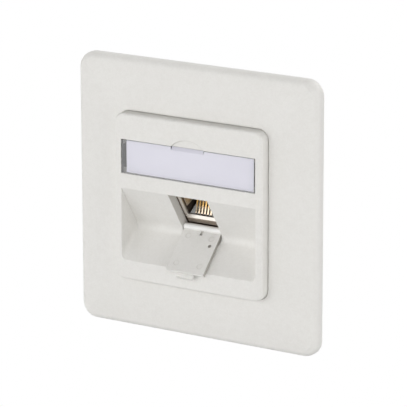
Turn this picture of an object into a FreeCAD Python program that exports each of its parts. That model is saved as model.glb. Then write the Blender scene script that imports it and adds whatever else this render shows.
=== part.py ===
import FreeCAD, Part
import math
import os
import re
import Sketcher

# Flush network wall socket: a square cover frame, a central plate with a label window and a slanted
# port recess, a hinged dust flap, and a shielded eight-way jack held behind them on a cast support.
# X runs to the right, Y into the wall and Z up. The origin is the centre of the wall plane, so
# everything in the room has a negative Y. A "height" is a distance from the wall into the room.

doc = FreeCAD.newDocument("wall_socket")
sheet = doc.addObject("Spreadsheet::Sheet", "Size")

DIMENSIONS = {
    # cover frame
    "frame_side": 81.1,
    "frame_corner": 4.9,
    "frame_height": 4.5,
    "frame_fall": 1.55,
    "frame_round": 2.1,
    "frame_wall": 2,
    "frame_hollow": 2,
    "window_side": 50.2,
    "window_corner": 3.2,
    "window_wall": 1.8,
    "window_edge": 0.35,
    "window_land": 1,
    "ledge_side": 48.6,
    "ledge_front": 3,
    "ledge_back": 1.6,
    "rib_thick": 1.2,
    "rib_place": 14,
    "rib_back": 1.65,
    # a grown feature sinks this far into its base, and a cut runs this far past the surface
    "merge": 0.2,
    "past": 1,
    # central plate and its recess
    "plate_side": 50,
    "plate_corner": 3,
    "plate_height": 7.7,
    "plate_edge": 0.8,
    "plate_front": 1.8,
    "plate_skirt": 1.6,
    "recess_width": 45.4,
    "recess_top": 2.6,
    "recess_bottom": -19.1,
    "recess_wall": 1.4,
    "recess_corner": 1.2,
    "floor_angle": 45,
    "valley_radius": 2.4,
    "lip_radius": 0.25,
    # port, measured from the recess's top edge: depth square to the slanted wall, up along it
    "port_tilt": 34,
    "port_width": 13.3,
    "port_bottom": -14.85,
    "collar_depth": 2.85,
    "collar_wall": 1.5,
    "flap_room_up": -16.2,
    "flap_room_depth": 2.2,
    # dust flap
    "hinge_up": -14.3,
    "hinge_depth": 1.1,
    "trunnion_radius": 0.5,
    "trunnion_clearance": 0.05,
    "trunnion_length": 1.1,
    "flap_angle": 45,
    "flap_width": 12.7,
    "flap_length": 15.1,
    "flap_outer": 0.95,
    "flap_inner": 0.1,
    "flap_edge": 0.2,
    "tab_width": 5.8,
    "tab_reach": 1.25,
    "tab_root": 0.3,
    "tab_rise": 0.55,
    "tab_foot": 0.65,
    "tab_step": 0.15,
    "tab_thick": 0.45,
    "tab_corner": 0.5,
    "mark_radius": 0.8,
    "mark_deep": 0.08,
    "mark_across": 3.95,
    "mark_near": 3,
    "mark_far": 12.3,
    "gate_radius": 0.45,
    "gate_deep": 0.5,
    "gate_across": 4.4,
    "gate_along": 5.35,
    "slot_width": 0.8,
    "slot_end": 1.4,
    # label field
    "label_bottom": 7.05,
    "label_top": 17.24,
    "label_deep": 1.25,
    "label_floor": 1.6,
    "label_frame": 1.4,
    "leg_slot": 1.1,
    "leg_slot_deep": 4.2,
    "leg_height": 7,
    "leg_thick": 0.7,
    "leg_deep": 3.4,
    "label_gap": 0.15,
    "window_thick": 1,
    "paper_thick": 0.14,
    "scoop_chord": 11,
    "scoop_rise": 2.2,
    "scoop_deep": 0.4,
    "grip_high": 1,
    "grip_deep": 0.7,
    # screws that hold the central plate
    "screw_across": 15.5,
    "screw_radius": 1.45,
    "screw_end": 3.2,
    "screw_head_radius": 2.7,
    "screw_head": 1.5,
    "screw_seat": 4.8,
    "screw_slot": 0.8,
    "boss_radius": 3.4,
    "boss_hole": 1.7,
    "boss_counterbore": 3,
    # cast support
    "support_side": 71,
    "support_corner": 4,
    "support_thick": 1.5,
    "support_opening": 49.2,
    "support_open_top": 20.5,
    "bridge_bottom": 9,
    "bridge_top": 16,
    "bridge_step": 0.4,
    "nut_radius": 3,
    "nut_end": 4,
    "nut_hole": 1.5,
    "box_screw_pitch": 60,
    "box_slot_length": 7,
    "box_slot_radius": 1.9,
    "cheek_inside": 15.7,
    "cheek_thick": 1.6,
    "cheek_front": 5,
    "cheek_back": 12.3,
    "cheek_bottom": -17,
    "cheek_top": 3,
    "cheek_nose": -1,
    "bar_low_back": 9,
    "bar_low_top": -15.55,
    "bar_high_front": 9.5,
    "bar_high_bottom": -0.45,
    "bar_high_top": 1,
    # jack housing, in port depth and up
    "jack_front": 3,
    "jack_back": 20,
    "jack_width": 15.2,
    "jack_top": -0.6,
    "jack_bottom": -15.4,
    "jack_edge": 0.5,
    "plug_width": 11.84,
    "plug_floor": -11.75,
    "plug_height": 7.6,
    "plug_end": 16.5,
    "key_width": 6.2,
    "key_height": 1.7,
    "mouth_chamfer": 0.7,
    "chin_top": -14.25,
    "chin_bottom": -15,
    "chin_back": 3.9,
    "chin_width": 13.8,
    "carrier_room_front": 4.1,
    "carrier_room_width": 11.4,
    "carrier_room_bottom": -13.45,
    "board_room_width": 13.2,
    "board_room_bottom": -14.4,
    "board_room_top": -1.6,
    "lug_width": 6,
    "lug_high": 1,
    "lug_thick": 0.8,
    "lug_gap": 0.2,
    "catch_side": 1.6,
    "catch_high": 0.35,
    "catch_depth": 17,
    "catch_up": -8,
    # contacts and their carrier
    "carrier_front": 4.2,
    "carrier_width": 11,
    "carrier_bottom": -13.35,
    "carrier_top": -11.95,
    "carrier_back": 16.3,
    "carrier_rear_front": 14.9,
    "carrier_rear_top": -4.4,
    "contact_count": 8,
    "contact_pitch": 1.016,
    "contact_width": 0.46,
    "contact_thick": 0.3,
    "contact_groove": 0.66,
    "groove_bottom": -12.95,
    "contact_bottom": -12.75,
    "contact_tail": 16.85,
    "contact_bend": 5,
    "bend_radius": 0.3,
    "contact_rise": 42,
    "contact_reach": 7.5,
    # side springs that earth the plug's screen
    "spring_front": 4.6,
    "spring_back": 12.6,
    "spring_thick": 0.2,
    "spring_gap": 0.02,
    "spring_bow_radius": 14,
    "spring_bottom": -9.2,
    "spring_top": -6.2,
    # circuit board, terminals and wire cap
    "board_front": 16.9,
    "board_thick": 1,
    "board_width": 12.6,
    "board_bottom": -14.1,
    "board_top": -1.9,
    "block_front": 18,
    "block_base": 1.5,
    "block_width": 12.4,
    "block_bottom": -13.5,
    "block_top": -2.5,
    "tower_back": 25.5,
    "tower_thick": 2.6,
    "tower_inset": 0.4,
    "wires_in_row": 4,
    "wire_pitch": 3,
    "wire_slot": 1,
    "wire_slot_front": 21.2,
    "terminal_room_width": 2.5,
    "terminal_room_thick": 0.7,
    "terminal_width": 2.2,
    "terminal_thick": 0.4,
    "terminal_front": 19.8,
    "terminal_back": 24.8,
    "terminal_gap": 0.5,
    "terminal_gap_front": 21.4,
    "cap_plate_front": 25.8,
    "cap_plate_thick": 1.4,
    "cap_plate_width": 13,
    "cap_plate_bottom": -14.3,
    "cap_plate_top": -1.7,
    "cap_hole": 3,
    "cap_notch": 1.3,
    "cap_notch_deep": 2,
    "guide_back": 29.5,
    "guide_thick": 1,
    # rear screening cap
    "rear_front": 20.1,
    "rear_back": 32.5,
    "rear_wall": 0.9,
    "rear_edge": 1.2,
    "inlet_radius": 3.6,
    "inlet_wall": 1,
    "inlet_back": 35,
    "strap_front": 15.2,
    "strap_height": 4,
    "strap_thick": 0.5,
    "strap_gap": 0.1,
}

PILLOW_START = "(window_side / 2 + window_land)"
PILLOW_WIDTH = f"(frame_side / 2 - {PILLOW_START})"
PILLOW_RADIUS = f"(({PILLOW_WIDTH} ^ 2 + frame_fall ^ 2) / (2 * frame_fall))"
LABEL_MIDDLE = "((label_bottom + label_top) / 2)"
JACK_MIDDLE = "((jack_bottom + jack_top) / 2)"
FIRST_CONTACT = "-(contact_count - 1) / 2 * contact_pitch"
FIRST_WIRE = "(-(wires_in_row - 1) / 2 * wire_pitch)"


def fill_sheet():
    for row, (name, number) in enumerate(DIMENSIONS.items(), 1):
        sheet.set(f"A{row}", name)
        sheet.set(f"B{row}", str(number))
        sheet.setAlias(f"B{row}", name)
    doc.recompute()


def on_sheet(formula):
    """The formula with every dimension written as its cell of the sheet."""
    return re.sub(r"[a-z]\w*", lambda word: ("Size." if word[0] in DIMENSIONS else "") + word[0], formula)


def value(formula):
    return float(sheet.evalExpression(on_sheet(formula)))


def bind(thing, name, formula):
    thing.setExpression(name, on_sheet(formula))


def new_body(label):
    body = doc.addObject("PartDesign::Body", label)
    body.Label = label
    body.AllowCompound = True
    return body


def origin_feature(body, role):
    return next(feature for feature in body.Origin.OriginFeatures if feature.Role == role)


def arc_between(start, end, radius):
    """The lesser arc from start to end; it bulges to the right of the way from start to end, or to the
    left where the radius is negative."""
    chord = end - start
    middle = (start + end) / 2
    right = FreeCAD.Vector(chord.y, -chord.x, 0).normalize()
    half = chord.Length / 2
    rise = abs(radius) - math.sqrt(radius * radius - half * half)
    return Part.Arc(start, middle + right * math.copysign(rise, radius), end)


def draw_outline(sketch, corners):
    """A closed outline. A corner is (across, up) or (across, up, radius), all formulas; with a radius,
    the edge that leaves the corner is an arc."""
    places = [FreeCAD.Vector(value(corner[0]), value(corner[1]), 0) for corner in corners]
    first = sketch.GeometryCount
    ends = []
    for index, corner in enumerate(corners):
        start = places[index]
        end = places[(index + 1) % len(places)]
        if len(corner) == 3:
            edge = sketch.addGeometry(arc_between(start, end, value(corner[2])))
        else:
            edge = sketch.addGeometry(Part.LineSegment(start, end))
        near, far = (sketch.getPoint(edge, which).distanceToPoint(start) for which in (1, 2))
        forward = near < far
        ends.append((1, 2) if forward else (2, 1))
    for index, corner in enumerate(corners):
        edge = first + index
        following = (index + 1) % len(corners)
        sketch.addConstraint(
            Sketcher.Constraint("Coincident", edge, ends[index][1], first + following, ends[following][0])
        )
        for kind, formula in (("DistanceX", corner[0]), ("DistanceY", corner[1])):
            place = Sketcher.Constraint(kind, -1, 1, edge, ends[index][0], value(formula))
            held = sketch.addConstraint(place)
            bind(sketch, f"Constraints[{held}]", formula)
        if len(corner) == 3:
            held = sketch.addConstraint(Sketcher.Constraint("Radius", edge, abs(value(corner[2]))))
            bind(sketch, f"Constraints[{held}]", f"abs({corner[2]})")


def draw_circle(sketch, across, up, radius):
    centre = FreeCAD.Vector(value(across), value(up), 0)
    edge = sketch.addGeometry(Part.Circle(centre, FreeCAD.Vector(0, 0, 1), value(radius)))
    for kind, formula in (("DistanceX", across), ("DistanceY", up)):
        held = sketch.addConstraint(Sketcher.Constraint(kind, -1, 1, edge, 3, value(formula)))
        bind(sketch, f"Constraints[{held}]", formula)
    held = sketch.addConstraint(Sketcher.Constraint("Radius", edge, value(radius)))
    bind(sketch, f"Constraints[{held}]", radius)


def rectangle(left, right, bottom, top):
    return [(left, bottom), (right, bottom), (right, top), (left, top)]


def rounded_square(side, corner):
    """A square about the origin with round corners, anticlockwise."""
    edge = f"({side}) / 2"
    straight = f"({side}) / 2 - ({corner})"
    return [
        (f"-({straight})", f"-({edge})"),
        (straight, f"-({edge})", corner),
        (edge, f"-({straight})"),
        (edge, straight, corner),
        (straight, edge),
        (f"-({straight})", edge, corner),
        (f"-({edge})", straight),
        (f"-({edge})", f"-({straight})", corner),
    ]


def new_sketch(body, role, outlines=(), circles=(), height="0", on_slant=False):
    """A sketch on one of the body's origin planes, raised along the plane's normal. On the slant, the
    sketch's axes are the port's depth and the way up the slanted wall, from the recess's top edge."""
    sketch = body.newObject("Sketcher::SketchObject", "Sketch")
    sketch.AttachmentSupport = [(origin_feature(body, role), "")]
    sketch.MapMode = "FlatFace"
    bind(sketch, "AttachmentOffset.Base.z", height)
    if on_slant:
        turned = FreeCAD.Rotation(FreeCAD.Vector(0, 0, 1), 1)
        sketch.AttachmentOffset = FreeCAD.Placement(FreeCAD.Vector(), turned)
        bind(sketch, "AttachmentOffset.Base.x", "-plate_height")
        bind(sketch, "AttachmentOffset.Base.y", "recess_top")
        bind(sketch, "AttachmentOffset.Rotation.Angle", "port_tilt")
    for outline in outlines:
        draw_outline(sketch, outline)
    for circle in circles:
        draw_circle(sketch, *circle)
    return sketch


def extrude(kind, body, sketch, length, both_ways=False, reverse=False):
    """A Pad or Pocket of the sketch. It has to change the body's volume."""
    before = 0 if body.Shape.isNull() else body.Shape.Volume
    feature = body.newObject(kind, kind.split("::")[1])
    feature.Profile = sketch
    bind(feature, "Length", length)
    feature.SideType = "Symmetric" if both_ways else "One side"
    feature.Reversed = reverse
    doc.recompute()
    if abs(body.Shape.Volume - before) < 1e-6:
        raise RuntimeError(f"{body.Label}: {feature.Name} changes nothing")
    return feature


def add(body, sketch, length, **options):
    return extrude("PartDesign::Pad", body, sketch, length, **options)


def cut(body, sketch, length, **options):
    return extrude("PartDesign::Pocket", body, sketch, length, **options)


def soften(body, size, wanted, kind="PartDesign::Fillet"):
    """A fillet, or a chamfer, on the edges of the body's last feature that the test wants."""
    base = body.Tip
    edges = [f"Edge{number}" for number, edge in enumerate(base.Shape.Edges, 1) if wanted(edge)]
    feature = body.newObject(kind, kind.split("::")[1])
    feature.Base = (base, edges)
    bind(feature, "Radius" if kind.endswith("Fillet") else "Size", size)
    doc.recompute()
    if not edges or "Invalid" in feature.State:
        raise RuntimeError(f"{body.Label}: {feature.Name} fails on {len(edges)} edges")
    return feature


def repeat(body, features, kind, **settings):
    """A pattern or mirror of features of the body, which becomes the body's result."""
    pattern = body.newObject(kind, kind.split("::")[1])
    pattern.Originals = features
    for name, setting in settings.items():
        setattr(pattern, name, setting)
    body.Tip = pattern
    doc.recompute()
    return pattern


def mirror(body, features):
    plane = (origin_feature(body, "YZ_Plane"), [""])
    return repeat(body, features, "PartDesign::Mirrored", MirrorPlane=plane)


def row(body, features, pitch, count):
    """Features repeated in a row along the body's X axis."""
    direction = (origin_feature(body, "X_Axis"), [""])
    pattern = repeat(body, features, "PartDesign::LinearPattern", Direction=direction)
    pattern.Mode = "Spacing"
    bind(pattern, "Offset", pitch)
    bind(pattern, "Occurrences", count)
    doc.recompute()
    return pattern


def flat_at(axis, formula):
    """A test for edges that lie wholly at one place along an axis."""
    place = value(formula)

    def wanted(edge):
        box = edge.BoundBox
        low, high = (getattr(box, axis + "Min"), getattr(box, axis + "Max"))
        return abs(low - place) < 0.01 and abs(high - place) < 0.01

    return wanted


def along(axis):
    """A test for straight edges that run along an axis."""
    others = [name for name in "XYZ" if name != axis]

    def wanted(edge):
        box = edge.BoundBox
        return all(getattr(box, name + "Length") < 0.01 for name in others)

    return wanted


def place_on_port(body):
    """Stands a body on the port: its Y is the port's depth, its Z the way up the slanted wall."""
    body.Placement = FreeCAD.Placement(FreeCAD.Vector(), FreeCAD.Rotation(FreeCAD.Vector(1, 0, 0), 1))
    bind(body, "Placement.Base.y", "-plate_height")
    bind(body, "Placement.Base.z", "recess_top")
    bind(body, "Placement.Rotation.Angle", "port_tilt")


def make_cover_frame():
    """Moulded square frame: a shell with a front that falls in a shallow curve to each outer edge, so
    that the four limbs meet in mitres, and a window with a ledge that the central plate clamps."""
    body = new_body("cover_frame")
    add(body, new_sketch(body, "XZ_Plane", [rounded_square("frame_side", "frame_corner")]), "frame_height")

    inner, outer = PILLOW_START, "frame_side / 2"
    low = "-(frame_height - frame_fall)"
    high = "-frame_height"
    above = "-(frame_height + past)"
    right_waste = [(inner, high, PILLOW_RADIUS), (outer, low), (outer, above), (inner, above)]
    left_waste = [
        (f"-{outer}", low, PILLOW_RADIUS),
        (f"-{inner}", high),
        (f"-{inner}", above),
        (f"-{outer}", above),
    ]
    cut(body, new_sketch(body, "XY_Plane", [right_waste, left_waste]), "2 * frame_side", both_ways=True)
    top_waste = [(height, across, *rest) for across, height, *rest in reversed_arcs(right_waste)]
    bottom_waste = [(height, across, *rest) for across, height, *rest in reversed_arcs(left_waste)]
    cut(body, new_sketch(body, "YZ_Plane", [top_waste, bottom_waste]), "2 * frame_side", both_ways=True)
    round_outer_edge(body)

    window = rounded_square("window_side", "window_corner")
    window_sketch = new_sketch(body, "XZ_Plane", [window], height="frame_height")
    cut(body, window_sketch, "frame_height - ledge_front")
    at_front = flat_at("Y", "-frame_height")
    land = value("window_side + window_land") / 2

    def round_window(edge):
        middle = edge.CenterOfMass
        return at_front(edge) and max(abs(middle.x), abs(middle.z)) < land

    soften(body, "window_edge", round_window)
    ledge = rounded_square("ledge_side", "window_corner")
    cut(body, new_sketch(body, "XZ_Plane", [ledge], height="frame_height"), "frame_height")

    hollow = rounded_square("frame_side - 2 * frame_wall", "frame_corner - frame_wall / 2")
    cut(body, new_sketch(body, "XZ_Plane", [hollow]), "ledge_back", reverse=True)
    core = rounded_square("window_side + 2 * window_wall", "window_corner + window_wall / 2")
    cut(body, new_sketch(body, "XZ_Plane", [hollow, core]), "frame_hollow", reverse=True)

    ribs = [
        rectangle(
            f"{side} * rib_place - rib_thick / 2",
            f"{side} * rib_place + rib_thick / 2",
            "window_side / 2 + window_wall / 2",
            "frame_side / 2 - frame_wall / 2",
        )
        for side in (-1, 1)
    ]
    rib_sketch = new_sketch(body, "XZ_Plane", ribs, height="rib_back")
    rib_pair = add(body, rib_sketch, "frame_hollow - rib_back + merge")
    repeat(
        body,
        [rib_pair],
        "PartDesign::PolarPattern",
        Axis=(origin_feature(body, "Y_Axis"), [""]),
        Angle=360,
        Occurrences=4,
    )
    return body


def reversed_arcs(outline):
    """An outline for a sketch whose two axes are swapped: swapping turns it over, so arcs change sides."""
    return [(*corner[:2], f"-({corner[2]})") if len(corner) == 3 else corner for corner in outline]


def round_outer_edge(body):
    """Rounds the frame's front outer edge: a waste carried along the outline, whose arc touches the side
    wall at one end and the pillowed front at the other."""
    path = new_sketch(body, "XZ_Plane", [rounded_square("frame_side", "frame_corner")])
    edge = "frame_side / 2"
    across = f"(({PILLOW_WIDTH} - frame_round) / (1 - frame_round / {PILLOW_RADIUS}))"
    level = f"sqrt({PILLOW_RADIUS} ^ 2 - {across} ^ 2)"
    front = f"-(frame_height - {PILLOW_RADIUS} + {level})"
    start = f"{front} + frame_round * {level} / {PILLOW_RADIUS}"
    waste = [
        (edge, start, "-frame_round"),
        (f"{PILLOW_START} + {across}", front),
        (f"{PILLOW_START} + {across}", "-(frame_height + past)"),
        (f"{edge} + past", "-(frame_height + past)"),
        (f"{edge} + past", start),
    ]
    profile = new_sketch(body, "XY_Plane", [waste])
    before = body.Shape.Volume
    sweep = body.newObject("PartDesign::SubtractivePipe", "SubtractivePipe")
    sweep.Profile = profile
    sweep.Spine = (path, [f"Edge{number}" for number in range(1, path.GeometryCount + 1)])
    doc.recompute()
    if body.Shape.Volume > before - 1:
        raise RuntimeError("the frame's outer edge is not rounded")


def recess_outline(wall):
    """The recess in side view, grown by a wall: slanted port wall, valley and sloping floor."""
    slant = "tan(port_tilt)"
    floor = "tan(floor_angle)"
    top = f"recess_top + ({wall}) / sin(port_tilt)"
    bottom = f"recess_bottom - ({wall}) / sin(floor_angle)"
    valley_up = f"(({top}) * {slant} + ({bottom}) * {floor}) / ({slant} + {floor})"
    valley_deep = f"(({top}) - ({valley_up})) * {slant} - plate_height"
    return [("-plate_height", top), ("-plate_height", bottom), (valley_deep, valley_up)]


def make_central_plate():
    """Moulded plate: a shallow box with a label field at the top, a wide recess below whose slanted wall
    carries the port, a collar round the port, and two tubes for the screws behind the label."""
    body = new_body("central_plate")
    outline = rounded_square("plate_side", "plate_corner")
    skirt = new_sketch(body, "XZ_Plane", [outline], height="ledge_front")
    add(body, skirt, "plate_height - ledge_front")
    soften(body, "plate_edge", flat_at("Y", "-plate_height"))
    inside = rounded_square("plate_side - 2 * plate_skirt", "plate_corner - plate_skirt / 2")
    back = new_sketch(body, "XZ_Plane", [inside], height="ledge_front")
    cut(body, back, "plate_height - ledge_front - plate_front", reverse=True)

    shell = recess_outline("recess_wall")
    front_of_shell = "-(plate_height - plate_front / 2)"
    shell = [(front_of_shell, shell[0][1]), (front_of_shell, shell[1][1]), shell[2]]
    add(body, new_sketch(body, "YZ_Plane", [shell]), "recess_width + 2 * recess_wall", both_ways=True)
    soften(body, "valley_radius + recess_wall", valley_edge("recess_wall"))
    cut(body, new_sketch(body, "YZ_Plane", [recess_outline("0")]), "recess_width", both_ways=True)
    soften(body, "valley_radius", valley_edge("0"))
    round_floor_ends(body)
    soften(body, "lip_radius", recess_mouth)

    collar = rectangle("collar_wall / 3", "collar_depth", "flap_room_up - collar_wall", "collar_wall / 2")
    collar_sketch = new_sketch(body, "YZ_Plane", [collar], on_slant=True)
    add(body, collar_sketch, "port_width + 2 * collar_wall", both_ways=True)
    opening = rectangle("-2 * collar_wall", "collar_depth + past", "port_bottom", "0")
    cut(body, new_sketch(body, "YZ_Plane", [opening], on_slant=True), "port_width", both_ways=True)
    room = rectangle("-2 * collar_wall", "flap_room_depth", "flap_room_up", "port_bottom + past")
    cut(body, new_sketch(body, "YZ_Plane", [room], on_slant=True), "port_width", both_ways=True)
    bearing = ("hinge_depth", "hinge_up", "trunnion_radius + trunnion_clearance")
    bearing_sketch = new_sketch(body, "YZ_Plane", circles=[bearing], on_slant=True)
    cut(body, bearing_sketch, "flap_width + 2 * trunnion_length + merge", both_ways=True)

    inside = "(plate_side - plate_skirt) / 2"
    floor_back = "plate_height - label_deep - label_floor"
    floor = rectangle(f"-{inside}", inside, "label_bottom - label_frame", "label_top + label_frame")
    floor_sketch = new_sketch(body, "XZ_Plane", [floor], height=floor_back)
    add(body, floor_sketch, f"plate_height - plate_front / 2 - ({floor_back})")
    pockets = [
        rectangle(left, right, "label_bottom - label_frame / 2", "label_top + label_frame / 2")
        for left, right in both_sides("recess_width / 2 - leg_slot - label_frame", inside)
    ]
    pocket_back = "plate_height - leg_slot_deep - label_frame"
    pocket_sketch = new_sketch(body, "XZ_Plane", pockets, height=pocket_back)
    add(body, pocket_sketch, f"{floor_back} + label_floor / 2 - ({pocket_back})")
    tubes = [(f"{side} * screw_across", LABEL_MIDDLE, "boss_radius") for side in (-1, 1)]
    tube_sketch = new_sketch(body, "XZ_Plane", circles=tubes, height="support_thick")
    add(body, tube_sketch, f"{floor_back} + label_floor / 2 - support_thick")

    field = rectangle("-recess_width / 2", "recess_width / 2", "label_bottom", "label_top")
    cut(body, new_sketch(body, "XZ_Plane", [field], height="plate_height"), "label_deep")
    slots = [
        rectangle(left, right, "label_bottom", "label_top")
        for left, right in both_sides("recess_width / 2 - leg_slot", "recess_width / 2")
    ]
    cut(body, new_sketch(body, "XZ_Plane", slots, height="plate_height"), "leg_slot_deep")
    scoop_radius = "(scoop_chord ^ 2 / 4 + scoop_rise ^ 2) / (2 * scoop_rise)"
    scoop = [
        ("-scoop_chord / 2", "label_top"),
        ("-scoop_chord / 2", "label_top - label_gap"),
        ("scoop_chord / 2", "label_top - label_gap"),
        ("scoop_chord / 2", "label_top", scoop_radius),
    ]
    cut(body, new_sketch(body, "XZ_Plane", [scoop], height="plate_height"), "scoop_deep")
    holes = [(f"{side} * screw_across", LABEL_MIDDLE, "boss_hole") for side in (-1, 1)]
    cut(body, new_sketch(body, "XZ_Plane", circles=holes, height="plate_height"), "plate_height")
    seats = [(f"{side} * screw_across", LABEL_MIDDLE, "boss_counterbore") for side in (-1, 1)]
    seat_sketch = new_sketch(body, "XZ_Plane", circles=seats, height="plate_height")
    cut(body, seat_sketch, "plate_height - screw_seat")
    return body


def both_sides(near, far):
    """The left and right limits of a strip from near to far, on the right and on the left."""
    return [(near, far), (f"-({far})", f"-({near})")]


def round_floor_ends(body):
    """Rounds the corner between the recess's floor and each end wall: a hollow strip laid up the floor,
    which runs into the slanted wall, and is cut off level with the plate's front."""
    end = "(recess_width / 2)"
    strip = [
        (f"{end} - recess_corner", "0", "recess_corner"),
        (end, "recess_corner"),
        (f"{end} + merge", "recess_corner"),
        (f"{end} + merge", "-merge / 2"),
        (f"{end} - recess_corner", "-merge / 2"),
    ]
    sketch = new_sketch(body, "XZ_Plane", [strip])
    turned = FreeCAD.Rotation(FreeCAD.Vector(1, 0, 0), 1)
    sketch.AttachmentOffset = FreeCAD.Placement(FreeCAD.Vector(), turned)
    bind(sketch, "AttachmentOffset.Base.y", "recess_bottom")
    bind(sketch, "AttachmentOffset.Base.z", "plate_height")
    bind(sketch, "AttachmentOffset.Rotation.Angle", "floor_angle")
    valley_up = recess_outline("0")[2][1]
    floor_length = f"(({valley_up}) - recess_bottom) / sin(floor_angle)"
    mirror(body, [add(body, sketch, f"{floor_length} - merge / 2", reverse=True)])
    outline = rounded_square("plate_side", "plate_corner")
    cut(body, new_sketch(body, "XZ_Plane", [outline], height="plate_height + past"), "past")


def recess_mouth(edge):
    """Whether an edge is on the plate's front, round the recess."""
    box = edge.BoundBox
    in_front = abs(box.YMin + value("plate_height")) < 0.01 and box.YLength < 0.01
    inside = max(abs(box.XMin), abs(box.XMax)) < value("recess_width") / 2 + 0.01
    return in_front and inside and box.ZMax < value("recess_top") + 0.01


def valley_edge(wall):
    """A test for the edge along the bottom of the recess, grown by a wall."""
    corner = recess_outline(wall)[2]
    deep, up = value(corner[0]), value(corner[1])

    def wanted(edge):
        box = edge.BoundBox
        return (
            box.XLength > value("recess_width") / 2
            and abs(box.YMin - deep) < 0.05
            and abs(box.YMax - deep) < 0.05
            and abs(box.ZMin - up) < 0.05
            and abs(box.ZMax - up) < 0.05
        )

    return wanted


def make_label_window():
    """Clear cover of the label: a thin pane with a finger bevel at the top and a snap leg at each end."""
    body = new_body("label_window")
    edge = "(recess_width / 2 - label_gap)"
    pane = rectangle(f"-{edge}", edge, "label_bottom + label_gap", "label_top - label_gap")
    back = "plate_height - window_thick"
    add(body, new_sketch(body, "XZ_Plane", [pane], height=back), "window_thick")
    legs = [
        rectangle(left, right, f"{LABEL_MIDDLE} - leg_height / 2", f"{LABEL_MIDDLE} + leg_height / 2")
        for left, right in both_sides(f"{edge} - leg_thick", edge)
    ]
    leg_sketch = new_sketch(body, "XZ_Plane", legs, height="plate_height - leg_deep")
    add(body, leg_sketch, "leg_deep - window_thick / 2")
    top = "label_top - label_gap"
    bevel = [
        ("-plate_height", f"{top} - grip_high"),
        ("-plate_height + grip_deep", top),
        ("-plate_height + grip_deep", f"{top} + past"),
        ("-plate_height - past", f"{top} + past"),
        ("-plate_height - past", f"{top} - grip_high"),
    ]
    cut(body, new_sketch(body, "YZ_Plane", [bevel]), "scoop_chord", both_ways=True)
    return body


def make_paper_label():
    """Plain paper strip that lies on the floor of the label field, under the clear cover."""
    body = new_body("paper_label")
    edge = "(recess_width / 2 - leg_slot - label_gap / 2)"
    strip = rectangle(f"-{edge}", edge, "label_bottom + label_gap", "label_top - label_gap")
    add(body, new_sketch(body, "XZ_Plane", [strip], height="plate_height - label_deep"), "paper_thick")
    return body


def make_dust_flap():
    """Moulded flap on two trunnions. Its own Y runs from the hinge to the free end and its Z out of the
    outer face. It stands open, with the outer face on the recess's lip."""
    body = new_body("dust_flap")
    body.Placement = FreeCAD.Placement(FreeCAD.Vector(), FreeCAD.Rotation(FreeCAD.Vector(1, 0, 0), 1))
    bind(body, "Placement.Base.y", "hinge_depth * cos(port_tilt) - hinge_up * sin(port_tilt) - plate_height")
    bind(body, "Placement.Base.z", "recess_top + hinge_depth * sin(port_tilt) + hinge_up * cos(port_tilt)")
    bind(body, "Placement.Rotation.Angle", "180 + flap_angle")

    leaf = rectangle("0", "flap_length", "-flap_inner", "flap_outer")
    add(body, new_sketch(body, "YZ_Plane", [leaf]), "flap_width", both_ways=True)
    soften(body, "flap_edge", lambda edge: edge.BoundBox.YMin > value("flap_length") / 4)
    add(body, new_sketch(body, "YZ_Plane", circles=[("0", "0", "flap_outer")]), "flap_width", both_ways=True)
    pins = new_sketch(body, "YZ_Plane", circles=[("0", "0", "trunnion_radius")])
    add(body, pins, "flap_width + 2 * trunnion_length", both_ways=True)

    tab = [
        ("flap_length - tab_root", "flap_outer / 2"),
        ("flap_length + tab_root", "flap_outer / 3"),
        ("flap_length + tab_rise", "flap_outer + tab_step"),
        ("flap_length + tab_reach", "flap_outer + tab_step"),
        ("flap_length + tab_reach", "flap_outer + tab_step + tab_thick"),
        ("flap_length + tab_foot", "flap_outer + tab_step + tab_thick"),
        ("flap_length", "flap_outer"),
        ("flap_length - tab_root", "flap_outer"),
    ]
    add(body, new_sketch(body, "YZ_Plane", [tab]), "tab_width", both_ways=True)
    tip = value("flap_length + tab_reach")
    soften(body, "tab_corner", lambda edge: edge.BoundBox.YMin > tip - 0.01 and edge.BoundBox.XLength < 0.01)

    marks = [
        (f"{side} * mark_across", place, "mark_radius")
        for side in (-1, 1)
        for place in ("mark_near", "mark_far")
    ]
    cut(body, new_sketch(body, "XY_Plane", circles=marks, height="-flap_inner"), "mark_deep", reverse=True)
    notch = rectangle("-slot_width / 2", "slot_width / 2", "flap_outer", "slot_end + flap_outer")
    cut(body, new_sketch(body, "XY_Plane", [notch], height="-flap_inner"), "gate_deep", reverse=True)
    gate = ("gate_across", "gate_along", "gate_radius")
    cut(body, new_sketch(body, "XY_Plane", circles=[gate], height="-flap_inner"), "gate_deep", reverse=True)
    return body


def make_plate_screws():
    """Two pan-head screws behind the label that draw the central plate and the frame to the support."""
    body = new_body("plate_screws")
    head = ("screw_across", LABEL_MIDDLE, "screw_head_radius")
    head_sketch = new_sketch(body, "XZ_Plane", circles=[head], height="screw_seat")
    shank = ("screw_across", LABEL_MIDDLE, "screw_radius")
    shank_sketch = new_sketch(body, "XZ_Plane", circles=[shank], height="screw_seat")
    features = [
        add(body, head_sketch, "screw_head"),
        add(body, shank_sketch, "screw_seat + screw_end", reverse=True),
    ]
    slot = rectangle(
        "screw_across - screw_slot / 2",
        "screw_across + screw_slot / 2",
        f"{LABEL_MIDDLE} - 2 * screw_head_radius",
        f"{LABEL_MIDDLE} + 2 * screw_head_radius",
    )
    top = "screw_seat + screw_head"
    features.append(cut(body, new_sketch(body, "XZ_Plane", [slot], height=top), "screw_slot"))
    mirror(body, features)
    return body


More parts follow.
